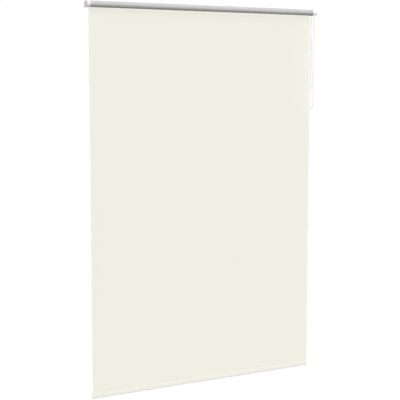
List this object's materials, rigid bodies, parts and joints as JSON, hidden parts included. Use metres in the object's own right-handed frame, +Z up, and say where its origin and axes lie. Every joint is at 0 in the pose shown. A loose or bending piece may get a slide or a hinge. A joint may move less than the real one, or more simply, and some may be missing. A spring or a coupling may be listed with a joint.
{
  "type": "blackout roller blind",
  "caption": "Chain-operated blackout roller blind: a cream cloth panel with a bar in its hem hangs from a roller tube held between wall brackets, with a bead chain clutch at its right end.",
  "frame": {"origin": "centre of the four wall screw holes, on the wall plane, level with the roller's axis", "axes": "+X along the roller towards the chain end, +Y to the wall, +Z up; the panel hangs to -Z and the room is on the -Y side"},
  "size_m": [1, 0.0382, 1.5016],
  "materials": {
    "white_plastic": "satin moulded",
    "inner_plastic": "satin moulded",
    "cap_plastic": "satin moulded",
    "chain_plastic": "polished moulded",
    "spring_steel": "drawn",
    "tube_aluminium": "extruded",
    "bar_aluminium": "extruded",
    "cloth": "plain weave",
    "cloth_back": "coated, matt grey"
  },
  "bodies": {
    "brackets": {"idle_bracket": "white_plastic", "control_bracket": "white_plastic", "clutch_core": "inner_plastic", "clutch_retainer": "spring_steel", "chain_guard": "white_plastic", "fabric_panel": "cloth", "bead_chain": "chain_plastic"},
    "roller": {"roller_tube": "tube_aluminium", "fabric_roll": "cloth_back", "idle_end_plug": "white_plastic", "idle_spring": "spring_steel", "idle_spring_cap": "inner_plastic", "chain_wheel": "inner_plastic", "clutch_springs": "spring_steel", "drive_adapter": "inner_plastic"},
    "idle_pin": {"idle_pin": "spring_steel"},
    "bottom_bar": {"fabric_hem": "cloth", "bottom_bar": "bar_aluminium", "bar_cap_left": "cap_plastic", "bar_cap_right": "cap_plastic"}
  },
  "joints": [
    {"name": "roller_turn", "type": "hinge", "parent": "brackets", "child": "roller", "pos_m": [0, -0.0245, 0], "axis": [1, 0, 0], "range_deg": [0, 5220], "deforming": ["bead_chain"]},
    {"name": "bottom_bar_lift", "type": "slide", "parent": "brackets", "child": "bottom_bar", "axis": [0, 0, 1], "range_m": [0, 1.4386], "deforming": ["fabric_panel"]},
    {"name": "idle_pin_press", "type": "slide", "parent": "roller", "child": "idle_pin", "axis": [1, 0, 0], "range_m": [0, 0.0042], "stiffness_N_per_m": 300, "springref_m": -0.004, "deforming": ["idle_spring"]}
  ],
  "couplings": [
    {"joint": "bottom_bar_lift", "follows": "roller_turn", "m_per_rad": 0.01579}
  ]
}
